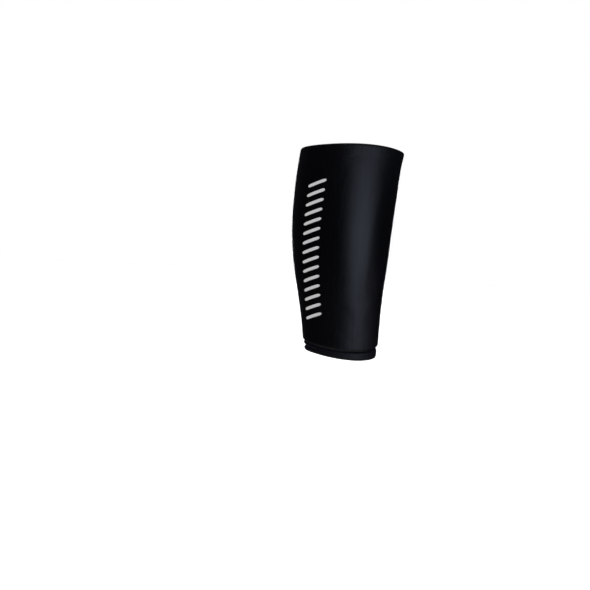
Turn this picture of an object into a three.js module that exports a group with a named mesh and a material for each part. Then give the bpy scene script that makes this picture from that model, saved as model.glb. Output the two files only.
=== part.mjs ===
// Cooling sleeve for the calf: a gel-padded stretch tube whose lining turns out as a cuff at the lower end.
// Millimetres. +Z runs up the tube, +X points to its shin side, and -Y is its outer side.
// The origin is on the tube's axis, in the middle of the lower opening.

import * as THREE from "three";
import { ParametricGeometry } from "three/addons/geometries/ParametricGeometry.js";

// Driving dimensions
const WALL = 5; // gel between two cloths
const RIM_ROUND = 3.2; // height of the fold that rounds the top rim
const HEM_ROUND = 4; // height of the fold that rounds the sleeve's lower edge
const CUFF_INSET = 1.2; // the cuff's bulge lies this far inside the sleeve's outer face
const CUFF_NIP = 3.3; // the same at the groove under the sleeve's edge
const CUFF_ROLL = 4.2; // height of the roll at the cuff's lower edge
const CUFF_BELLY = 0.45; // share of the cuff's height below which it keeps its full bulge
const TAIL = 1.5; // the cuff's cloth where it runs up inside the sleeve
const TUCK = 9; // height of the rebate in the sleeve that takes the tail
const GAP = 0.3; // clearance between the two pieces

// Outside of the tube by height: reach to the shin side, to the calf side and sideways, and egg,
// how much narrower the tube is towards the shin than towards the calf
const SECTIONS = [
  { z: 0, shin: 47.1, calf: 46.8, side: 41.5, egg: -0.06 },
  { z: 40, shin: 47.5, calf: 51.7, side: 44, egg: -0.03 },
  { z: 80, shin: 49.5, calf: 59.7, side: 49.5, egg: 0.03 },
  { z: 120, shin: 52.9, calf: 67.5, side: 55, egg: 0.06 },
  { z: 160, shin: 55.7, calf: 71.1, side: 58.5, egg: 0.07 },
  { z: 200, shin: 58.3, calf: 70.7, side: 60, egg: 0.07 },
  { z: 235, shin: 61.1, calf: 67.9, side: 61, egg: 0.07 },
  { z: 262, shin: 65.2, calf: 64.8, side: 62, egg: 0.07 },
];

// Rims: height at the two sides, rise from there to shin and calf, drop from calf to shin, swing, which
// lifts the stretch between side and shin and sinks the one between side and calf, and peak at the shin
const TOP_RIM = { height: 260.8, saddle: -3.2, tilt: -0.8, swing: 2.2, peak: 0 };
const SLEEVE_HEM = { height: 8.9, saddle: 4.4, tilt: 5.6, swing: -0.2, peak: 2.6 };
const CUFF_HEM = { height: -1.5, saddle: 2.35, tilt: 5.3, swing: -1.2, peak: 0.6 };

// Creases that fold the cuff: degrees from the shin, half-spread, height and width as cuff shares, depth
const CUFF_CREASES = [
  { angle: 180, spread: 60, height: 0.24, width: 0.18, depth: 2.5 },
  { angle: 0, spread: 45, height: 0.93, width: 0.25, depth: 1.2 },
];

// Facets
const AROUND = 56;
const WALL_STEPS = 12;
const RIM_STEPS = 8;
const HEM_STEPS = 5;
const CUFF_STEPS = 10;
const ROLL_STEPS = 6;
const TAIL_STEPS = 2;

const lerp = THREE.MathUtils.lerp;

// The section's four values at any height, smooth between the rows
const VALUES = ["shin", "calf", "side", "egg"];
const section = new THREE.CubicInterpolant(
  SECTIONS.map((row) => row.z),
  SECTIONS.flatMap((row) => VALUES.map((value) => row[value])),
  VALUES.length,
);

// A point at an angle from the shin and a height, a given depth inside the sleeve's outer face.
// X is the mean reach times the cosine, plus half of what the shin has over the calf times its square.
function tubePoint(angle, z, inset, target) {
  const [shin, calf, side, egg] = section.evaluate(z);
  const forward = Math.cos(angle);
  const reach = (shin + calf) / 2 - inset;
  const x = reach * forward + ((shin - calf) / 2) * forward ** 2;
  const y = (side - inset) * Math.sin(angle) * (1 - egg * forward);
  return target.set(x, y, z);
}

// Height of a rim at an angle: a saddle that also tilts and swings, with a narrow peak at the shin
function rimHeight(rim, angle) {
  const forward = Math.cos(angle);
  const swing = rim.swing * forward * Math.sin(angle) ** 2;
  const peak = rim.peak * Math.max(0, forward) ** 6;
  return rim.height + rim.saddle * forward ** 2 - (rim.tilt / 2) * forward + swing + peak;
}

// A closed wall: stations of a profile, each carried round the tube between a lower and an upper rim.
// A station holds its share of the way up, a lift along Z, and its depth inside the outer face.
function wallAround(stations, lowerRim, upperRim, creaseDepth = () => 0) {
  const pointAt = (u, v, target) => {
    const angle = u * 2 * Math.PI;
    const { share, lift, inset } = stations[Math.round(v * stations.length) % stations.length];
    const z = lerp(rimHeight(lowerRim, angle), rimHeight(upperRim, angle), share) + lift;
    return tubePoint(angle, z, inset + creaseDepth(angle, share, inset), target);
  };
  return new ParametricGeometry(pointAt, AROUND, stations.length);
}

function steps(count, station) {
  return Array.from({ length: count }, (_, i) => station(i / count));
}

// A quarter of an ellipse: 0 up to the start, then ever steeper to 1
function roundIn(t, start) {
  const s = Math.max(0, (t - start) / (1 - start));
  return 1 - Math.sqrt(1 - s ** 2);
}

// Profile of the padded tube: up the outside, over the top fold, down the inside,
// round the rebate for the tail and under the lower fold
function sleeveStations() {
  const rebate = WALL - TAIL - GAP;
  const outside = steps(WALL_STEPS, (t) => ({ share: t, lift: lerp(HEM_ROUND, -RIM_ROUND, t), inset: 0 }));
  const topFold = steps(RIM_STEPS, (t) => ({
    share: 1,
    lift: RIM_ROUND * (Math.sin(Math.PI * t) - 1),
    inset: (WALL / 2) * (1 - Math.cos(Math.PI * t)),
  }));
  const inside = steps(WALL_STEPS, (t) => ({ share: 1 - t, lift: lerp(-RIM_ROUND, TUCK, t), inset: WALL }));
  const shoulder = [
    { share: 0, lift: TUCK, inset: WALL },
    { share: 0, lift: TUCK, inset: rebate },
    { share: 0, lift: TUCK / 2, inset: rebate },
  ];
  const lowerFold = steps(HEM_STEPS, (t) => ({
    share: 0,
    lift: HEM_ROUND * (1 - Math.cos((Math.PI / 2) * t)),
    inset: rebate * (1 - Math.sin((Math.PI / 2) * t)),
  }));
  return [...outside, ...topFold, ...inside, ...shoulder, ...lowerFold];
}

// Profile of the cuff: up its outside to the groove, up and over the tail, down the inside,
// and round the lower roll
function cuffStations() {
  const wide = WALL - CUFF_INSET;
  const outside = steps(CUFF_STEPS, (t) => ({
    share: t,
    lift: lerp(CUFF_ROLL, -GAP, t),
    inset: lerp(CUFF_INSET, CUFF_NIP, roundIn(t, CUFF_BELLY)),
  }));
  const tailTop = TUCK - GAP;
  const tail = [
    { share: 1, lift: -GAP, inset: CUFF_NIP },
    { share: 1, lift: -GAP, inset: WALL - TAIL },
    { share: 1, lift: tailTop, inset: WALL - TAIL },
  ];
  const inside = steps(TAIL_STEPS, (t) => ({ share: 1 - t, lift: lerp(tailTop, CUFF_ROLL, t), inset: WALL }));
  const roll = steps(ROLL_STEPS, (t) => ({
    share: 0,
    lift: CUFF_ROLL * (1 - Math.sin(Math.PI * t)),
    inset: CUFF_INSET + (wide / 2) * (1 + Math.cos(Math.PI * t)),
  }));
  return [...outside, ...tail, ...inside, ...roll];
}

// How far an angle lies from a number of degrees, the short way round
function degreesAway(angle, degrees) {
  const turn = THREE.MathUtils.euclideanModulo(THREE.MathUtils.radToDeg(angle) - degrees, 360);
  return Math.min(turn, 360 - turn);
}

// Depth of the creases on the cuff's outer face: a bell over the height, fading with the angle
function cuffCrease(angle, share, inset) {
  if (inset > CUFF_NIP) {
    return 0;
  }
  return CUFF_CREASES.reduce((total, row) => {
    const away = Math.min(1, degreesAway(angle, row.angle) / row.spread);
    const fade = Math.cos((Math.PI / 2) * away);
    const bell = Math.exp(-(((share - row.height) / row.width) ** 2));
    return total + row.depth * fade * bell;
  }, 0);
}

function piece(name, geometry, color, roughness) {
  const mesh = new THREE.Mesh(geometry, new THREE.MeshStandardMaterial({ color, roughness, metalness: 0 }));
  mesh.name = name;
  return mesh;
}

const coolingSleeve = new THREE.Group();
coolingSleeve.name = "cooling_sleeve";
coolingSleeve.add(
  piece("gel_sleeve", wallAround(sleeveStations(), SLEEVE_HEM, TOP_RIM), 0x0d0e10, 0.48),
  piece("lining_cuff", wallAround(cuffStations(), CUFF_HEM, SLEEVE_HEM, cuffCrease), 0x101218, 0.55),
);

export default coolingSleeve;
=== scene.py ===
# %% [markdown]
# # A gel cooling sleeve for the calf
# The real thing is a tube of black stretch knit with a layer of gel between its two cloths. It is chilled,
# and pulled on like a sock that is open at both ends. This lesson dresses the imported part in the part's own
# frame: metres, +Z up the tube, +X to its shin side, and -Y its outer side, which the photograph shows. The.
# The frame is loaded first, because every piece has to stay inside its box.

import bpy
import numpy as np
from mathutils import Matrix, Vector


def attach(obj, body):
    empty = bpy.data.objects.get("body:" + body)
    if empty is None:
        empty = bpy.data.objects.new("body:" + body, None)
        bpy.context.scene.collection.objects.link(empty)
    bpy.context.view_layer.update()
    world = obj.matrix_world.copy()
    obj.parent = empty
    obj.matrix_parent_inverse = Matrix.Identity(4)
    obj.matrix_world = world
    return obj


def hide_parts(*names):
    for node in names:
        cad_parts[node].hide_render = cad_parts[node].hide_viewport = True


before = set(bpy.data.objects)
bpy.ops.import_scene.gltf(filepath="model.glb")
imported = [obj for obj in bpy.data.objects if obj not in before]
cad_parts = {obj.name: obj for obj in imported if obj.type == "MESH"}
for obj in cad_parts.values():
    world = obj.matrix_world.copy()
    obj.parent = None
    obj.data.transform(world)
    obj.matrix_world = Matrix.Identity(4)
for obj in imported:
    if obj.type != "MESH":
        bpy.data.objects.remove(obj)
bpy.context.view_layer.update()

# %% [markdown]
# ## The form of the tube
# Stretch cloth takes the shape of what it is pulled over, so one shape rules every piece here: narrow below,
# wide above, with the swell of a calf on one side. It could be sculpted, or lofted through drawn curves. A
# short table of sections with a smooth formula between them is easier to change, and it gives a point at any
# angle and height, which cloth, seam and print all ask for. Angles start at the shin side and turn towards
# +Y, so the outer side is at -90 degrees and the calf side at 180.

# %% Sections of the tube
MM = 0.001
SECTIONS = np.array([  # height, reach to the shin side, to the calf side and sideways, all in mm, and egg
    (0, 47.1, 46.8, 41.5, -0.06),
    (40, 47.5, 51.7, 44.0, -0.03),
    (80, 49.5, 59.7, 49.5, 0.03),
    (120, 52.9, 67.5, 55.0, 0.06),
    (160, 55.7, 71.1, 58.5, 0.07),
    (200, 58.3, 70.7, 60.0, 0.07),
    (235, 61.1, 67.9, 61.0, 0.07),
    (262, 65.2, 64.8, 62.0, 0.07),
])
SECTION_HEIGHT = SECTIONS[:, 0] * MM
SECTION_VALUES = SECTIONS[:, 1:] * (MM, MM, MM, 1)
SWELL_HEIGHT = 175 * MM  # of the widest part of the calf side


def section(height):
    """Reach to shin, calf and side, and egg: a cubic between two sections, whose slope at a section is the
    mean of the straight slopes on either side of it."""
    rise = np.diff(SECTION_VALUES, axis=0) / np.diff(SECTION_HEIGHT)[:, None]
    slope = np.vstack([rise[:1], (rise[1:] + rise[:-1]) / 2, rise[-1:]])
    row = np.clip(np.searchsorted(SECTION_HEIGHT, height) - 1, 0, len(SECTION_HEIGHT) - 2)
    span = (SECTION_HEIGHT[row + 1] - SECTION_HEIGHT[row])[..., None]
    t = np.clip((height - SECTION_HEIGHT[row])[..., None] / span, 0, 1)
    start = (1 + 2 * t) * SECTION_VALUES[row] + t * span * slope[row]
    end = (3 - 2 * t) * SECTION_VALUES[row + 1] - (1 - t) * span * slope[row + 1]
    return (1 - t) ** 2 * start + t**2 * end


print("shin, calf and side reach, and egg, at the swell", section(np.array(SWELL_HEIGHT)).round(4))

# %% Points and normals of the tube


def tube_point(angle, height, inset=0.0):
    """A point of the outer face, or the given depth inside it. X is the mean of shin and calf reach times
    the cosine, plus half their difference times its square. Y is the side reach times the sine, times one
    less the egg's share of the cosine."""
    shin, calf, side, egg = np.moveaxis(section(height), -1, 0)
    forward = np.cos(angle)
    x = ((shin + calf) / 2 - inset) * forward + (shin - calf) / 2 * forward**2
    y = (side - inset) * np.sin(angle) * (1 - egg * forward)
    return np.stack(np.broadcast_arrays(x, y, height), axis=-1)


def unit(vectors):
    """Each vector over its own length."""
    return vectors / np.linalg.norm(vectors, axis=-1, keepdims=True)


def tube_normal(angle, height):
    """The way out of the cloth: the step round the tube crossed with the step up it."""
    step = 1e-4
    sideways = tube_point(angle + step, height) - tube_point(angle - step, height)
    upwards = tube_point(angle, height + step) - tube_point(angle, height - step)
    return unit(np.cross(sideways, upwards))


def tube_radius(angle, height):
    """How far the outer face lies from the axis, to turn angles into lengths."""
    return np.linalg.norm(tube_point(angle, height)[..., :2], axis=-1)


all_round = np.radians(np.arange(0, 360.5, 0.5))
swell_line = tube_point(all_round, np.full_like(all_round, SWELL_HEIGHT))
swell_girth = np.linalg.norm(np.diff(swell_line, axis=0), axis=1).sum()
print("outer girth at the swell", round(swell_girth, 4), "m")

# %% [markdown]
# ## The rims
# The ends of the sleeve aren't cut level: they stand higher, or hang lower, at the two sides than at shin
# and calf. A cut through the tube with a tilted plane would be too plain for that. A rim is therefore a
# saddle, one squared cosine, that also tilts and swings a little, and the lower ones come to a small peak
# at the shin.

# %% Heights of the rims
TOP_RIM = MM * np.array([260.8, -3.2, -0.8, 2.2, 0])  # height, saddle, tilt, swing, peak
SLEEVE_HEM = MM * np.array([8.9, 4.4, 5.6, -0.2, 2.6])
CUFF_HEM = MM * np.array([-1.5, 2.35, 5.3, -1.2, 0.6])


def rim_height(rim, angle):
    """The rim's height at the sides, plus its saddle times the cosine squared, less half its tilt times the
    cosine, plus its swing times the cosine and the sine squared, plus its peak times the sixth power of the
    cosine where that is positive."""
    height, saddle, tilt, swing, peak = rim
    forward = np.cos(angle)
    lean = swing * forward * np.sin(angle) ** 2 - tilt / 2 * forward
    return height + saddle * forward**2 + lean + peak * np.maximum(forward, 0) ** 6


for name, rim in (("top rim", TOP_RIM), ("sleeve hem", SLEEVE_HEM), ("cuff hem", CUFF_HEM)):
    spread = rim_height(rim, all_round)
    print(name, "from", round(spread.min(), 4), "to", round(spread.max(), 4), "m")

# %% [markdown]
# ## The camera
# The photograph looks at the outer side from about the sleeve's own height. The camera stands at the
# distance where the rims bow as they do there. It is rolled so that the sleeve leans. A lens shift could
# put the sleeve in its place, but other views would keep it, so the camera is turned until the sleeve's
# middle falls on its place in the picture.

# %% Camera
PICTURE = 590  # pixels a side
PIXEL_AT_SLEEVE = 1.27 * MM
SLEEVE_MIDDLE = Vector((0, 0, 136 * MM))
MIDDLE_PIXEL = (346.8, 247.7)
LEAN = np.radians(3.54)
CAMERA_DISTANCE = 1.1
CAMERA_ELEVATION = np.radians(0.5)

camera_data = bpy.data.cameras.new("photo_camera")
camera_data.lens = camera_data.sensor_width * CAMERA_DISTANCE / (PIXEL_AT_SLEEVE * PICTURE)
camera = bpy.data.objects.new("photo_camera", camera_data)
bpy.context.scene.collection.objects.link(camera)
bpy.context.scene.camera = camera

backwards = Vector((0, -np.cos(CAMERA_ELEVATION), np.sin(CAMERA_ELEVATION)))
level_right = Vector((1, 0, 0))
level_up = backwards.cross(level_right)
right = np.cos(LEAN) * level_right + np.sin(LEAN) * level_up
up = np.cos(LEAN) * level_up - np.sin(LEAN) * level_right
facing = Matrix((right, up, backwards)).transposed()
pixel_slope = PIXEL_AT_SLEEVE / CAMERA_DISTANCE
off_centre = Vector((
    (MIDDLE_PIXEL[0] - PICTURE / 2) * pixel_slope,
    (PICTURE / 2 - MIDDLE_PIXEL[1]) * pixel_slope,
    -1,
))
turn = off_centre.rotation_difference(Vector((0, 0, -1))).to_matrix()
place = Matrix.Translation(SLEEVE_MIDDLE + CAMERA_DISTANCE * backwards)
camera.matrix_world = place @ (facing @ turn).to_4x4()
print("lens", round(camera_data.lens, 1), "mm, at", [round(x, 3) for x in camera.matrix_world.translation])

# %% [markdown]
# ## Nodes and colours
# Materials are small graphs of nodes. One helper adds any node, sets its properties and fills or links its
# sockets, so a graph reads from top to bottom. Colours are given as sRGB hex values, and shaders count in
# linear light, so one function turns the first into the second.

# %% Helpers for materials


def linear(hex_colour):
    """sRGB hex to linear RGBA: a straight line near black, and a power of 2.4 above it."""
    channels = np.array([int(hex_colour[k : k + 2], 16) for k in (1, 3, 5)]) / 255
    curved = np.where(channels <= 0.04045, channels / 12.92, ((channels + 0.055) / 1.055) ** 2.4)
    return (*curved.tolist(), 1.0)


def add_node(tree, kind, sockets=None, **settings):
    """Adds a node with its settings; each socket gets a value, or a link from another node's output."""
    node = tree.nodes.new(kind)
    for name, value in settings.items():
        setattr(node, name, value)
    for key, value in (sockets or {}).items():
        if isinstance(value, bpy.types.NodeSocket):
            tree.links.new(value, node.inputs[key])
        else:
            node.inputs[key].default_value = value
    return node


def add_math(tree, operation, *values):
    """The output of a Math node with these values or links."""
    return add_node(tree, "ShaderNodeMath", dict(enumerate(values)), operation=operation).outputs[0]


def new_material(name):
    """An empty node material and its tree."""
    material = bpy.data.materials.new(name)
    material.use_nodes = True
    material.node_tree.nodes.clear()
    return material, material.node_tree


print("sRGB #808080 is", np.round(linear("#808080")[0], 3), "in linear light")

# %% [markdown]
# ## Warp-knit nylon
# The outer cloth is a nylon and elastane warp knit: fine bright filaments that lie in upright columns of
# loops, called wales. Dyed black it has almost no colour of its own, so what the eye gets is nylon's weak
# reflection, spread by the loops to a broad satin highlight with a fine upright grain. The lining is the
# same knit in a duller, bluer black.
#
# The loops could be modelled, but there are hundreds of thousands of them, so nodes draw their height and
# colour. The real wales are about 0.5 mm apart, too fine to show here, so they are drawn at 1 mm. The
# pattern reads the piece's own UV map, which counts wales and courses, so it follows the tube. Each wale is
# a round rib, and its loops lean in from both sides, which makes the V shapes of a knit. A slow wobble keeps
# the wales from lying like ruled lines, streaks along them vary the gloss as one yarn differs from the next,
# and the cloth is glossiest where it is stretched smooth over the swell.
# Between the ribs the colour is painted darker, as shade.

# %% Sizes of the knit
WALE = 1.0 * MM
COURSE = 0.9 * MM
LOOP_SLANT = 0.45  # of a course, from the middle of a wale to its edge
LOOP_DEPTH = 0.3  # of the rib's height
RIB_HEIGHT = 0.05 * MM
WOBBLE = 0.7  # of a wale
WOBBLE_SIZE = 14 * MM
STREAK_WIDTH = 1.7  # wales
STREAK_LENGTH = 60  # courses
STREAK_ROUGHNESS = 0.2
STRETCHED_MIDDLE = 135 * MM  # height where the cloth is stretched smoothest
RELAXED = (25 * MM, 125 * MM)  # between these distances above or below that height the cloth turns duller
RELAXED_ROUGHNESS = 0.14
NYLON_IOR = 1.53
print("wales", WALE / MM, "mm and courses", COURSE / MM, "mm apart")

# %% Knit cloth


def knit_cloth(name, thread, gap_shade, roughness):
    """Principled cloth. Its height is a rounded rib, one less the squared distance from the wale's middle,
    times a wave along the loops; low on the rib the colour is painted darker, as shade between the ribs."""
    material, tree = new_material(name)
    place = add_node(tree, "ShaderNodeTexCoord").outputs["Object"]
    count = add_node(tree, "ShaderNodeUVMap", uv_map="cloth").outputs[0]
    counted = add_node(tree, "ShaderNodeSeparateXYZ", {0: count}).outputs
    drift = add_node(tree, "ShaderNodeTexNoise", {"Vector": place, "Scale": 1 / WOBBLE_SIZE, "Detail": 1.0})
    across = add_math(tree, "MULTIPLY_ADD", drift.outputs[0], WOBBLE, counted["X"])

    wale = add_math(tree, "FRACT", across)
    edge = add_math(tree, "ABSOLUTE", add_math(tree, "MULTIPLY_ADD", wale, 2.0, -1.0))
    course = add_math(tree, "MULTIPLY_ADD", edge, LOOP_SLANT, counted["Y"])
    loop = add_math(tree, "SINE", add_math(tree, "MULTIPLY", course, 2 * np.pi))
    ripple = add_math(tree, "MULTIPLY_ADD", loop, LOOP_DEPTH, 1 - LOOP_DEPTH)
    round_rib = add_math(tree, "SUBTRACT", 1.0, add_math(tree, "MULTIPLY", edge, edge))
    rib = add_math(tree, "MULTIPLY", round_rib, ripple)
    # painted shade: the darker second colour is mixed in where the rib is low, between the ribs
    colours = {0: rib, 6: linear(gap_shade), 7: linear(thread)}
    colour = add_node(tree, "ShaderNodeMix", colours, data_type="RGBA").outputs[2]
    relief = add_node(tree, "ShaderNodeBump", {"Height": rib, "Strength": 0.6, "Distance": RIB_HEIGHT})

    yarn = add_node(tree, "ShaderNodeCombineXYZ", {
        0: add_math(tree, "DIVIDE", across, STREAK_WIDTH),
        1: add_math(tree, "DIVIDE", counted["Y"], STREAK_LENGTH),
    }).outputs[0]
    streak = add_node(tree, "ShaderNodeTexNoise", {"Vector": yarn, "Scale": 1.0, "Detail": 2.0}).outputs[0]
    height = add_node(tree, "ShaderNodeSeparateXYZ", {0: place}).outputs["Z"]
    from_middle = add_math(tree, "ABSOLUTE", add_math(tree, "SUBTRACT", height, STRETCHED_MIDDLE))
    start = roughness - STREAK_ROUGHNESS / 2
    relaxed = add_node(tree, "ShaderNodeMapRange", {
        0: from_middle, 1: RELAXED[0], 2: RELAXED[1], 3: start, 4: start + RELAXED_ROUGHNESS,
    }).outputs[0]
    shader = add_node(tree, "ShaderNodeBsdfPrincipled", {
        "Base Color": colour,
        "Roughness": add_math(tree, "MULTIPLY_ADD", streak, STREAK_ROUGHNESS, relaxed),
        "Normal": relief.outputs[0],
        "IOR": NYLON_IOR,
        "Sheen Weight": 0.1,
        "Sheen Roughness": 0.4,
        "Sheen Tint": linear("#8f97aa"),
    })
    add_node(tree, "ShaderNodeOutputMaterial", {"Surface": shader.outputs[0]})
    return material


# the second colour of each cloth is painted shade between its ribs
satin_knit = knit_cloth("black_nylon_warp_knit", "#040405", "#010102", 0.35)
lining_knit = knit_cloth("black_nylon_lining_knit", "#0a0b10", "#050609", 0.42)
print("cloths", satin_knit.name, lining_knit.name)

# %% [markdown]
# ## From a grid of points to a mesh
# Sleeve and cuff are rings: a closed profile carried once round the tube. As a grid that is a surface which
# joins up in both directions, so it has no ends to cap. A Screw modifier would do that for a round tube, but
# not for one whose section changes with height. The UV map counts wales round the tube and courses along
# the profile. Its values run on past the last column instead of jumping back, so the knit has no break.

# %% Grids
AROUND = 440
ROUND_ANGLES = np.linspace(-np.pi, np.pi, AROUND, endpoint=False)
CORNERS = ((0, 0), (0, 1), (1, 1), (1, 0))


def grid_faces(rows, columns, closed):
    """Quads between neighbours of a grid that joins up round the tube, and, if it is closed, along the
    profile too."""
    i, j = np.meshgrid(np.arange(rows if closed else rows - 1), np.arange(columns), indexing="ij")
    corners = [(i + a) % rows * columns + (j + b) % columns for a, b in CORNERS]
    return np.stack(corners, axis=-1).reshape(-1, 4)


def running_length(points):
    """Length from the first point to each next one along the first axis, as the mean over the second."""
    spans = np.linalg.norm(np.diff(points, axis=0), axis=-1).mean(axis=1)
    return np.concatenate([[0], np.cumsum(spans)])


print("points are", round(swell_girth / AROUND / MM, 2), "mm apart round the swell")

# %% Ring meshes


def ring_mesh(name, points):
    """Quads over a grid that wraps in both directions, with a UV map of whole wales and courses."""
    rows, columns = points.shape[:2]
    mesh = bpy.data.meshes.new(name)
    mesh.from_pydata(points.reshape(-1, 3), [], grid_faces(rows, columns, closed=True))
    up_profile = running_length(np.concatenate([points, points[:1]]))
    round_tube = running_length(np.concatenate([points, points[:, :1]], axis=1).swapaxes(0, 1))[-1]
    i, j = np.meshgrid(np.arange(rows), np.arange(columns), indexing="ij")
    u = np.stack([j + b for _, b in CORNERS], axis=-1) * np.round(round_tube / WALE) / columns
    courses = np.round(up_profile[-1] / COURSE) / up_profile[-1]
    v = np.stack([up_profile[i + a] for a, _ in CORNERS], axis=-1) * courses
    layer = mesh.uv_layers.new(name="cloth")
    layer.data.foreach_set("uv", np.stack([u, v], axis=-1).astype(np.float32).ravel())
    mesh.shade_smooth()
    return mesh


def add_piece(name, mesh, material):
    """Puts a finished mesh into the scene, at the origin, riding on the part's one body."""
    piece = bpy.data.objects.new(name, mesh)
    bpy.context.scene.collection.objects.link(piece)
    mesh.materials.append(material)
    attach(piece, "root")
    print(name, len(mesh.vertices), "points", len(mesh.polygons), "faces")
    return piece


print("a row of a ring has", len(grid_faces(1, AROUND, closed=True)), "faces")

# %% [markdown]
# ## Bands of the profile
# A profile is walked band by band: up the outside, over a fold, down the inside. A band is a row of
# stations, each with its share of the way between two rims, a lift, and a depth inside the outer face.
# Bands are whole arrays, so a fold is just a sine for the lift and a cosine for the depth.

# %% Bands
WALL = 5 * MM
RIM_ROUND = 3.2 * MM
HEM_ROUND = 4 * MM
TAIL = 1.5 * MM
TUCK = 9 * MM
GAP = 0.3 * MM


def steps(count, start=0.0, end=1.0):
    """Even steps from start up to, but without, end: the next band begins there."""
    return start + (end - start) * np.arange(count) / count


def mix(a, b, t):
    """The straight way from a to b."""
    return a + (b - a) * t


def band(rims, share, lift, inset=0.0, relief=None, fade=1.0):
    """Carries stations round the tube: the height is mixed between the two rims and lifted, and the point is
    moved along the normal by the relief at that angle and height, times the station's fade."""
    columns = np.broadcast_arrays(share, lift, inset, fade)
    share, lift, inset, fade = (column[:, None] for column in columns)
    angle = np.broadcast_to(ROUND_ANGLES, (len(share), AROUND))
    height = mix(rim_height(rims[0], angle), rim_height(rims[1], angle), share) + lift
    points = tube_point(angle, height, inset)
    if relief is None:
        return points
    return points + (fade * relief(angle, height))[..., None] * tube_normal(angle, height)


def bell(distance, half_width):
    """One at the middle, falling off as the exponential of minus the squared distance over half-width."""
    return np.exp(-((distance / half_width) ** 2))


def turn_from(angle, degrees):
    """Signed angle from a number of degrees, the short way round."""
    return (angle - np.radians(degrees) + np.pi) % (2 * np.pi) - np.pi


print("from the calf side to the outer side", round(np.degrees(turn_from(np.radians(-90), 180))), "degrees")

# %% [markdown]
# ## Letting cloth settle
# Cloth over soft gel is no perfect surface: it swells where gel gathers, and it buckles softly where it has
# more length than it needs. Waves from a formula look regular, so Blender's Cloth does it. A coarse copy of
# the face is held at its two edges, grows a little, and is blown up by the gel. The copy is then thrown
# away: only how far it moved is kept, and smooth splines carry that over to the fine grid.

# %% Cloth simulation
SETTLE_FRAMES = 20


def settle(points, grow, pressure, bending):
    """Cloth simulation of an open tube whose first and last rows are held: the points where they end up."""
    scene = bpy.context.scene
    rows, columns = points.shape[:2]
    mesh = bpy.data.meshes.new("settling_cloth")
    mesh.from_pydata(points.reshape(-1, 3), [], grid_faces(rows, columns, closed=False))
    cloth = bpy.data.objects.new("settling_cloth", mesh)
    scene.collection.objects.link(cloth)
    held = cloth.vertex_groups.new(name="held")
    held.add([*range(columns), *range((rows - 1) * columns, rows * columns)], 1.0, "REPLACE")
    modifier = cloth.modifiers.new("cloth", "CLOTH")
    modifier.collision_settings.use_collision = False
    modifier.point_cache.frame_end = SETTLE_FRAMES
    settings = modifier.settings
    settings.vertex_group_mass = held.name
    settings.quality = 8
    settings.shrink_min = -grow
    settings.bending_stiffness = bending
    settings.use_pressure = True
    settings.uniform_pressure_force = pressure
    settings.effector_weights.gravity = 0
    for frame_number in range(1, SETTLE_FRAMES + 1):
        scene.frame_set(frame_number)
    moved = np.empty(points.size, np.float32)
    result = cloth.evaluated_get(bpy.context.evaluated_depsgraph_get())
    result.data.vertices.foreach_get("co", moved)
    scene.frame_set(1)
    bpy.data.objects.remove(cloth)
    bpy.data.meshes.remove(mesh)
    return moved.reshape(points.shape)


print("cloth settles for", SETTLE_FRAMES, "frames")

# %% From the coarse grid to the fine one


def spline_weights(place, count, closed):
    """Cubic B-spline: for each place, counted in steps of a coarse grid, each row's or column's weight."""
    away = place[..., None] - np.arange(count)
    if closed:
        away = (away + count / 2) % count - count / 2
    away = np.abs(away)
    near = 2 / 3 - away**2 + away**3 / 2
    weights = np.where(away < 1, near, np.clip(2 - away, 0, None) ** 3 / 6)
    return weights / weights.sum(axis=-1, keepdims=True)


def report_move(what, lengths):
    """Prints how far a cloth moved."""
    low, middle, high = np.percentile(lengths, (5, 50, 95)) / MM
    print(what, "moved by", round(low, 2), "to", round(high, 2), "mm, in the middle", round(middle, 2))


halfway = spline_weights(np.array(1.5), 4, closed=False)
print("weights of four rows halfway between the middle two", halfway.round(3))

# %% [markdown]
# ## Swells and pull folds of the sleeve
# Where the sleeve was pulled up, slanting folds run down from its top rim. They are part of the shape that
# the simulation starts from. Its result is measured along the normal, less the mean of each row, and capped
# at about a tenth of a millimetre, so the surface gets its life and the outline stays.

# %% Settled sleeve
PULL_FOLDS = [  # degrees at the top, drift down the fold, start below the rim, length, half-width, height
    (-97, -12, 0 * MM, 42 * MM, 5 * MM, 0.30 * MM),
    (35, 9, 1 * MM, 48 * MM, 6 * MM, 0.35 * MM),
    (128, -10, 1 * MM, 44 * MM, 6 * MM, 0.35 * MM),
    (172, 8, 2 * MM, 52 * MM, 7 * MM, 0.35 * MM),
]
SETTLE_ROWS = 60
SETTLE_COLUMNS = 96
SWELL_CAP = 0.12 * MM


def pull_folds(angle, height):
    """Ridges from the top rim that drift sideways on their way down: a bell across, a half sine along."""
    below = rim_height(TOP_RIM, angle) - height
    radius = tube_radius(angle, height)
    total = np.zeros(angle.shape)
    for degrees, drift, start, length, half_width, rise in PULL_FOLDS:
        along = np.clip((below - start) / length, 0, 1)
        across = turn_from(angle, degrees + drift * along) * radius
        total += rise * bell(across, half_width) * np.sin(np.pi * along)
    return total


def outer_limits(angle):
    """Where the plain outer face begins above the lower fold, and ends below the top fold."""
    return rim_height(SLEEVE_HEM, angle) + HEM_ROUND, rim_height(TOP_RIM, angle) - RIM_ROUND


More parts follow.
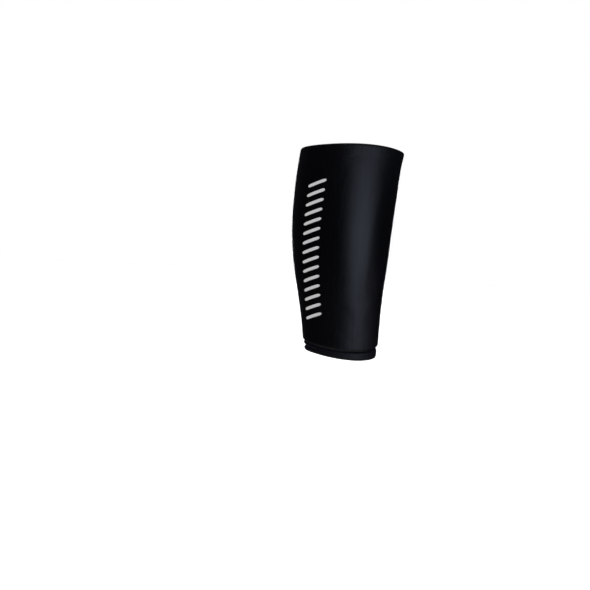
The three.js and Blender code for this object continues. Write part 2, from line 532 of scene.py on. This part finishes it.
coarse_turns = np.arange(SETTLE_COLUMNS) * 2 * np.pi / SETTLE_COLUMNS
coarse_angle = np.broadcast_to(coarse_turns, (SETTLE_ROWS, SETTLE_COLUMNS))
coarse_height = mix(*outer_limits(coarse_angle), np.linspace(0, 1, SETTLE_ROWS)[:, None])
coarse_smooth = tube_point(coarse_angle, coarse_height)
coarse_out = tube_normal(coarse_angle, coarse_height)
coarse_cloth = coarse_smooth + pull_folds(coarse_angle, coarse_height)[..., None] * coarse_out
coarse_cloth = settle(coarse_cloth, grow=0.006, pressure=1.0, bending=2.0)
outer_swell = ((coarse_cloth - coarse_smooth) * coarse_out).sum(axis=-1)
report_move("outer cloth", outer_swell)
outer_swell -= outer_swell.mean(axis=1, keepdims=True)
outer_swell = SWELL_CAP * np.tanh(outer_swell / SWELL_CAP)


def settled(angle, height):
    """The capped swell of the coarse cloth at any angle and height, by its two splines."""
    low, high = outer_limits(angle)
    share = np.clip((height - low) / (high - low), 0, 1)
    rows = spline_weights(share * (SETTLE_ROWS - 1), SETTLE_ROWS, closed=False)
    columns = spline_weights(angle / (2 * np.pi) * SETTLE_COLUMNS, SETTLE_COLUMNS, closed=True)
    return (rows @ outer_swell * columns).sum(axis=-1)


# %% [markdown]
# ## Crease, seam and gathers
# Finer things come after the simulation, as its coarse grid would smooth them away: one short crease below
# the top rim on the outer side, the seam that closes the tube on the inner side, and fine gathers where the
# lower edge is drawn in. The inside has the line where lining and outer cloth are joined under the top fold.

# %% Fine relief
CREASE = {"angle": -91, "below": 17 * MM, "half_length": 8 * MM, "half_height": 0.9 * MM, "depth": 0.2 * MM}
SEAM = {"angle": 90, "half_width": 1.1 * MM, "depth": 0.5 * MM}
SEAM_SHOULDER = {"half_width": 4 * MM, "rise": 0.3 * MM, "pucker": 0.4, "pucker_length": 7 * MM}
HEM_GATHERS = [(31, 0.3, 0.05 * MM), (47, 2.0, 0.04 * MM)]  # number round the tube, phase, depth
HEM_GATHER_REACH = 12 * MM
LINING_JOIN = {"below": 9 * MM, "half_height": 0.9 * MM, "depth": 0.4 * MM}
LINING_PUCKERS = [(29, 0.9, 0.12 * MM), (43, 3.1, 0.10 * MM), (67, 5.0, 0.05 * MM)]
LINING_PUCKER_REACH = 30 * MM


def outer_relief(angle, height):
    """How far the outer cloth stands out: the settled swell, less a crease that is a bell both ways, plus
    the seam's puckered shoulders less its groove, plus gathers that fade upwards."""
    radius = tube_radius(angle, height)
    along = turn_from(angle, CREASE["angle"]) * radius
    off = rim_height(TOP_RIM, angle) - CREASE["below"] - height
    crease = CREASE["depth"] * bell(along, CREASE["half_length"]) * bell(off, CREASE["half_height"])
    across = turn_from(angle, SEAM["angle"]) * radius
    pucker = 1 + SEAM_SHOULDER["pucker"] * np.sin(2 * np.pi * height / SEAM_SHOULDER["pucker_length"])
    shoulder = SEAM_SHOULDER["rise"] * pucker * bell(across, SEAM_SHOULDER["half_width"])
    groove = (SEAM["depth"] + SEAM_SHOULDER["rise"]) * bell(across, SEAM["half_width"])
    fade = bell(np.maximum(height - rim_height(SLEEVE_HEM, angle), 0), HEM_GATHER_REACH)
    gathers = fade * sum(depth * np.sin(n * angle + phase) for n, phase, depth in HEM_GATHERS)
    return settled(angle, height) - crease + shoulder - groove + gathers


def lining_relief(angle, height):
    """How far the inside gives way: the groove of the join, and puckers that fade away from it."""
    off = rim_height(TOP_RIM, angle) - LINING_JOIN["below"] - height
    join = LINING_JOIN["depth"] * bell(off, LINING_JOIN["half_height"])
    puckers = sum(depth * np.sin(n * angle + phase) for n, phase, depth in LINING_PUCKERS)
    return join + bell(off, LINING_PUCKER_REACH) * puckers


def cloth_point(angle, height, proud=0.0):
    """A point of the outer cloth with its relief, or as far proud of it as asked."""
    lift = outer_relief(angle, height) + proud
    return tube_point(angle, height) + lift[..., None] * tube_normal(angle, height)


swell_relief = outer_relief(all_round, np.full_like(all_round, SWELL_HEIGHT)) / MM
print("relief round the swell from", swell_relief.min().round(2), "to", swell_relief.max().round(2), "mm")

# %% [markdown]
# ## The gel sleeve
# This is the padded tube: up the outside, over the soft top fold, down the inside, round a rebate that takes
# the end of the lining cuff, and under the lower fold. Two cloths with gel between them would look no
# different from one closed wall, so it is one. Stations lie closer at the crease and at the lining's join.
# Below that join the inside is lining, so those rows of faces get the second material.

# %% Sleeve
SLEEVE_RIMS = (SLEEVE_HEM, TOP_RIM)
REBATE = WALL - TAIL - GAP
CREASE_SHARE = (0.915, 0.95)
JOIN_SHARE = 0.06
JOIN_STATION = 6  # of the inside
BELOW_CREASE, AT_CREASE, ABOVE_CREASE = 112, 16, 10  # stations of the outside
AT_JOIN, BELOW_JOIN = 16, 28  # stations of the inside
TOP_STATIONS, SHOULDER_STATIONS, HEM_STATIONS = 20, 3, 14
outside = np.concatenate([
    steps(BELOW_CREASE, 0, CREASE_SHARE[0]),
    steps(AT_CREASE, *CREASE_SHARE),
    steps(ABOVE_CREASE, CREASE_SHARE[1], 1),
])
inside = np.concatenate([steps(AT_JOIN, 0, JOIN_SHARE), steps(BELOW_JOIN, JOIN_SHARE, 1)])
top_turn = np.pi * steps(TOP_STATIONS)
shoulder = steps(SHOULDER_STATIONS)
hem_turn = np.pi / 2 * steps(HEM_STATIONS)
sleeve_points = np.concatenate([
    band(SLEEVE_RIMS, outside, mix(HEM_ROUND, -RIM_ROUND, outside), relief=outer_relief),
    band(
        SLEEVE_RIMS, 1.0, RIM_ROUND * (np.sin(top_turn) - 1), WALL / 2 * (1 - np.cos(top_turn)),
        relief=outer_relief, fade=np.cos(top_turn / 2) ** 2,
    ),
    band(
        SLEEVE_RIMS, 1 - inside, mix(-RIM_ROUND, TUCK, inside), WALL,
        relief=lining_relief, fade=1 - inside**8,  # plain again at the rebate
    ),
    band(SLEEVE_RIMS, 0.0, TUCK, mix(WALL, REBATE, shoulder)),
    band(SLEEVE_RIMS, 0.0, mix(TUCK, 0, shoulder), REBATE),
    band(
        SLEEVE_RIMS, 0.0, HEM_ROUND * (1 - np.cos(hem_turn)), REBATE * (1 - np.sin(hem_turn)),
        relief=outer_relief, fade=np.sin(hem_turn) ** 2,
    ),
])
gel_sleeve = add_piece("gel_sleeve_cloth", ring_mesh("gel_sleeve_cloth", sleeve_points), satin_knit)
gel_sleeve.data.materials.append(lining_knit)
row_material = np.zeros(len(sleeve_points), np.int32)
row_material[len(outside) + len(top_turn) + JOIN_STATION : -len(hem_turn)] = 1
gel_sleeve.data.polygons.foreach_set("material_index", np.repeat(row_material, AROUND))
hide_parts("gel_sleeve")

# %% [markdown]
# ## The lining cuff
# Below the sleeve the lining turns out and rolls up into a soft cuff, with a dark groove above it. On the
# calf side the roll folds once more. Cloth that is turned back has more length than room, so this roll is
# settled too: it grows between its two held edges, and gathers come by themselves.

# %% Creases of the cuff
CUFF_ROLL = 4.2 * MM
CUFF_CREASES = [  # degrees, half-spread, share of the height, half-width of that share, depth
    (180, 60, 0.24, 0.18, 2.5 * MM),
    (0, 45, 0.93, 0.25, 1.2 * MM),
    (60, 50, 0.45, 0.12, 0.5 * MM),
    (-20, 40, 0.50, 0.12, 0.4 * MM),
    (-100, 35, 0.30, 0.10, 0.25 * MM),
]


def cuff_relief(angle, height):
    """Minus the creases: each is a bell over the share of the cuff's height above its lower roll, and fades
    with a cosine round the tube."""
    low = rim_height(CUFF_HEM, angle) + CUFF_ROLL
    share = (height - low) / (rim_height(SLEEVE_HEM, angle) - GAP - low)
    total = np.zeros(angle.shape)
    for degrees, spread, level, half_width, depth in CUFF_CREASES:
        away = np.clip(np.abs(turn_from(angle, degrees)) / np.radians(spread), 0, 1)
        total -= depth * np.cos(np.pi / 2 * away) * bell(share - level, half_width)
    return total


print("deepest crease of the cuff", max(depth for *_, depth in CUFF_CREASES) / MM, "mm")

# %% Cuff
CUFF_RIMS = (CUFF_HEM, SLEEVE_HEM)
CUFF_INSET = 1.2 * MM
CUFF_NIP = 3.3 * MM
CUFF_BELLY = 0.45
CUFF_CAP = 0.45 * MM
CUFF_THINNING = 2  # only every second row and column goes into the simulation
ROLL_STATIONS, RISE_STATIONS = 22, 34  # round the lower edge, and up to the groove
NIP_STATIONS, TAIL_STATIONS, END_STATIONS, LINING_STATIONS = 2, 6, 4, 12


def round_in(t, start):
    """A quarter of an ellipse: 0 up to the start, then ever steeper to 1."""
    s = np.clip((t - start) / (1 - start), 0, 1)
    return 1 - np.sqrt(1 - s**2)


roll = np.pi * steps(ROLL_STATIONS)
rise = np.sin(np.pi / 2 * steps(RISE_STATIONS))
lining = steps(LINING_STATIONS)
roll_inset = CUFF_INSET + (WALL - CUFF_INSET) / 2 * (1 + np.cos(roll))
cuff_roll = np.concatenate([
    band(CUFF_RIMS, 0.0, CUFF_ROLL * (1 - np.sin(roll)), roll_inset),
    band(
        CUFF_RIMS, rise, mix(CUFF_ROLL, -GAP, rise), mix(CUFF_INSET, CUFF_NIP, round_in(rise, CUFF_BELLY)),
        relief=cuff_relief,
    ),
])
coarse_roll = cuff_roll[::CUFF_THINNING, ::CUFF_THINNING]
shift = settle(coarse_roll, grow=0.03, pressure=0.5, bending=0.5) - coarse_roll
length = np.linalg.norm(shift, axis=-1, keepdims=True) + 1e-9
report_move("cuff", length)
shift *= CUFF_CAP * np.tanh(length / CUFF_CAP) / length
row_place = np.arange(len(cuff_roll)) / CUFF_THINNING
row_weights = spline_weights(row_place, len(coarse_roll), closed=False)
column_weights = spline_weights(np.arange(AROUND) / CUFF_THINNING, AROUND // CUFF_THINNING, closed=True)
cuff_roll = cuff_roll + np.einsum("ar,rck,bc->abk", row_weights, shift, column_weights, optimize=True)
cuff_points = np.concatenate([
    cuff_roll,
    band(CUFF_RIMS, 1.0, -GAP, mix(CUFF_NIP, WALL - TAIL, steps(NIP_STATIONS))),
    band(CUFF_RIMS, 1.0, mix(-GAP, TUCK - GAP, steps(TAIL_STATIONS)), WALL - TAIL),
    band(CUFF_RIMS, 1.0, TUCK - GAP, mix(WALL - TAIL, WALL, steps(END_STATIONS))),
    band(CUFF_RIMS, 1 - lining, mix(TUCK - GAP, CUFF_ROLL, lining), WALL),
])
lining_cuff = add_piece("lining_cuff_cloth", ring_mesh("lining_cuff_cloth", cuff_points), lining_knit)
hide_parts("lining_cuff")

# %% [markdown]
# ## The print
# A light grey print runs up the calf side of the outer face. Here it is a plain ladder of short slanting
# bars. Such prints are heat-transfer film: a thin sheet of plastic, cut to shape and pressed on. To the eye
# it is an even, matt grey through which the cloth's grain shows a little. So each bar is a flat ribbon, a
# thin ellipse carried along a slanting line on the cloth, rounded off and closed at both ends. Painted in
# the cloth's material it would have no edge and no thickness.

# %% Transfer film
FILM_GRAIN = 0.8 * MM


def transfer_film(name, colour, worn):
    """Matt plastic film: noise of the cloth's grain shows through as bump, and mixes in a worn colour."""
    material, tree = new_material(name)
    place = add_node(tree, "ShaderNodeTexCoord").outputs["Object"]
    noise = add_node(tree, "ShaderNodeTexNoise", {"Vector": place, "Scale": 1 / FILM_GRAIN, "Detail": 2.0})
    grain = noise.outputs[0]
    tone = add_node(tree, "ShaderNodeMapRange", {0: grain, 1: 0.3, 2: 0.7, 3: 0.0, 4: 1.0}).outputs[0]
    colours = {0: tone, 6: linear(worn), 7: linear(colour)}
    mixed = add_node(tree, "ShaderNodeMix", colours, data_type="RGBA").outputs[2]
    relief = add_node(tree, "ShaderNodeBump", {"Height": grain, "Strength": 0.3, "Distance": 0.05 * MM})
    shader = add_node(tree, "ShaderNodeBsdfPrincipled", {
        "Base Color": mixed,
        "Normal": relief.outputs[0],
        "Roughness": 0.55,
        "Specular IOR Level": 0.3,
    })
    add_node(tree, "ShaderNodeOutputMaterial", {"Surface": shader.outputs[0]})
    return material


grey_film = transfer_film("grey_transfer_film", "#dededc", "#c9c9c7")
print("film", grey_film.name)

# %% Printed bars
PRINT_LINE = (-127, -132, -134)  # degrees at the top, in the middle and at the bottom
PRINT_TOP = 212 * MM
PRINT_PITCH = 11.6 * MM
PRINT_BARS = 15
BAR_HALF_LENGTH = 12.5 * MM
BAR_HALF_WIDTH = 2.0 * MM
BAR_RISE = 4.5 * MM  # from its middle to its end
BAR_RINGS = 41
FILM_HALF_THICKNESS = 0.1 * MM


def ribbon_mesh(name, centre, out, half_width, half_height, corners=8):
    """A flat ellipse carried along each row of centre points: its width lies in the cloth, and its height is
    along the outward normal. Quads join the ellipses, and a flat cap closes each end."""
    ribbons, rings = centre.shape[:2]
    side = unit(np.cross(out, np.gradient(centre, axis=1)))
    turns = np.arange(corners) * 2 * np.pi / corners
    across = (half_width[..., None] * np.cos(turns))[..., None] * side[:, :, None]
    proud = (half_height * np.sin(turns))[:, None] * out[:, :, None]
    points = centre[:, :, None] + across + proud
    k, i, j = np.meshgrid(np.arange(ribbons), np.arange(rings - 1), np.arange(corners), indexing="ij")
    corner_rows = [(k * rings + i + a) * corners + (j + b) % corners for a, b in CORNERS]
    quads = np.stack(corner_rows, axis=-1).reshape(-1, 4)
    first = np.arange(ribbons)[:, None] * rings * corners + np.arange(corners)
    last = first + (rings - 1) * corners
    mesh = bpy.data.meshes.new(name)
    mesh.from_pydata(points.reshape(-1, 3), [], [*quads.tolist(), *first[:, ::-1].tolist(), *last.tolist()])
    mesh.shade_smooth()
    return mesh


along = np.broadcast_to(np.linspace(-1, 1, BAR_RINGS), (PRINT_BARS, BAR_RINGS))
level = PRINT_TOP - PRINT_PITCH * np.arange(PRINT_BARS)[:, None]
line = np.polyfit([0, 0.5, 1], np.radians(PRINT_LINE), 2)
bar_turn = np.polyval(line, np.linspace(0, 1, PRINT_BARS))[:, None]
bar_angle = bar_turn + along * BAR_HALF_LENGTH / tube_radius(bar_turn, level)
bar_height = level + BAR_RISE * along
bar_centre = cloth_point(bar_angle, bar_height, proud=0.5 * FILM_HALF_THICKNESS)
bar_width = BAR_HALF_WIDTH * np.sqrt(1 - 0.999 * along**8)  # full, then rounded off to almost nothing
bar_out = tube_normal(bar_angle, bar_height)
bars = ribbon_mesh("bar_print_film", bar_centre, bar_out, bar_width, FILM_HALF_THICKNESS)
add_piece("bar_print_film", bars, grey_film)

# %% [markdown]
# ## Studio
# The photograph has a white ground and one broad, cool light to the right of the camera, which leaves the
# calf side almost black. A sun lamp with a wide angle is like a very large soft box far away: it runs one
# highlight down the whole sleeve. A fill from the left has no highlights, so it lifts the matt print and
# not the satin cloth. Lamps behind and above, and a bounce from the floor, shape the back, the rims and
# the views from above, and hardly reach what the camera sees. Last, a dim card stands low and near on the
# right, so it widens the highlight towards the lower end alone.

# %% Lamps
LAMPS = [  # name, colour, degrees right of the camera, elevation, angle across, strength, highlights
    ("key", "#d8e3ff", 38, -3, 52, 0.69, True),
    ("fill", "#ffffff", -45, 10, 60, 2.25, False),
    ("back", "#f4f7ff", 180, 0, 24, 3.2, True),
    ("top", "#ffffff", 180, 75, 60, 0.6, True),
    ("bounce", "#ffffff", 0, -90, 80, 0.45, True),
]


def aim(azimuth, elevation):
    """The direction from the sleeve to a lamp, by degrees right of the camera and above the floor."""
    a, e = np.radians((azimuth, elevation))
    return Vector((np.sin(a) * np.cos(e), -np.cos(a) * np.cos(e), np.sin(e)))


for name, colour, azimuth, elevation, angle, strength, highlights in LAMPS:
    lamp = bpy.data.objects.new(name, bpy.data.lights.new(name, "SUN"))
    lamp.data.color = linear(colour)[:3]
    lamp.data.energy = strength
    lamp.data.angle = np.radians(angle)
    lamp.visible_glossy = highlights
    lamp.rotation_mode = "QUATERNION"
    lamp.rotation_quaternion = aim(azimuth, elevation).to_track_quat("Z", "Y")
    bpy.context.scene.collection.objects.link(lamp)
print("lamps", [row[0] for row in LAMPS])

# %% Card
CARD = {
    "colour": "#e6e4ff", "watts": 0.035, "width": 0.35, "height": 0.16,
    "azimuth": 78, "distance": 0.4, "level": -55 * MM,
}
card_way = aim(CARD["azimuth"], 0)
card = bpy.data.objects.new("card", bpy.data.lights.new("card", "AREA"))
card.data.shape = "RECTANGLE"
card.data.size = CARD["width"]
card.data.size_y = CARD["height"]
card.data.energy = CARD["watts"]
card.data.color = linear(CARD["colour"])[:3]
card.location = CARD["distance"] * card_way + Vector((0, 0, CARD["level"]))
card.rotation_mode = "QUATERNION"
card.rotation_quaternion = card_way.to_track_quat("Z", "Y")
card.visible_camera = False
bpy.context.scene.collection.objects.link(card)
print("card at", [round(x, 3) for x in card.location])

# %% World
AMBIENT = 0.008  # just enough that nothing is quite black
world = bpy.data.worlds.new("studio")
world.use_nodes = True
world.node_tree.nodes.clear()
ambient = add_node(world.node_tree, "ShaderNodeBackground", {"Color": linear("#f4f6ff"), "Strength": AMBIENT})
add_node(world.node_tree, "ShaderNodeOutputWorld", {"Surface": ambient.outputs[0]})
bpy.context.scene.world = world
bpy.context.scene.view_settings.view_transform = "Standard"
print("world", world.name, "at strength", AMBIENT)

# %% Floor and backdrop
FLOOR_HEIGHT = -0.16
STAGE_REACH = 6.0
DOME_ROWS = 24
DOME_COLUMNS = 48
POLE_GAP = 0.01  # radians left open at each pole

floor_paint, floor_tree = new_material("pale_floor")
floor_shader = add_node(floor_tree, "ShaderNodeBsdfPrincipled", {
    "Base Color": linear("#f2f2f0"),
    "Roughness": 0.9,
    "Emission Color": linear("#ffffff"),
    "Emission Strength": 0.9,
})
add_node(floor_tree, "ShaderNodeOutputMaterial", {"Surface": floor_shader.outputs[0]})
floor_mesh = bpy.data.meshes.new("floor")
floor_plan = STAGE_REACH * np.array([(-1, -1), (1, -1), (1, 1), (-1, 1)])
floor_mesh.from_pydata(np.insert(floor_plan, 2, FLOOR_HEIGHT, axis=1), [], [(0, 1, 2, 3)])
floor_mesh.materials.append(floor_paint)

dome_paint, dome_tree = new_material("white_backdrop")
dome_glow = add_node(dome_tree, "ShaderNodeEmission", {"Color": linear("#ffffff"), "Strength": 1.0})
add_node(dome_tree, "ShaderNodeOutputMaterial", {"Surface": dome_glow.outputs[0]})
dome_rise = np.linspace(POLE_GAP, np.pi - POLE_GAP, DOME_ROWS)
polar, ring = np.meshgrid(dome_rise, 2 * np.pi * steps(DOME_COLUMNS), indexing="ij")
dome = np.stack([np.cos(ring) * np.sin(polar), np.sin(ring) * np.sin(polar), np.cos(polar)], axis=-1)
dome_mesh = bpy.data.meshes.new("backdrop")
dome_faces = grid_faces(DOME_ROWS, DOME_COLUMNS, closed=False)
dome_mesh.from_pydata(STAGE_REACH * dome.reshape(-1, 3), [], dome_faces)
dome_mesh.materials.append(dome_paint)

for stage_mesh in (floor_mesh, dome_mesh):
    stage_piece = bpy.data.objects.new(stage_mesh.name, stage_mesh)
    bpy.context.scene.collection.objects.link(stage_piece)
    for ray in ("diffuse", "glossy", "transmission", "volume_scatter", "shadow"):
        setattr(stage_piece, "visible_" + ray, False)
print("floor at", FLOOR_HEIGHT, "m, backdrop", STAGE_REACH, "m away")
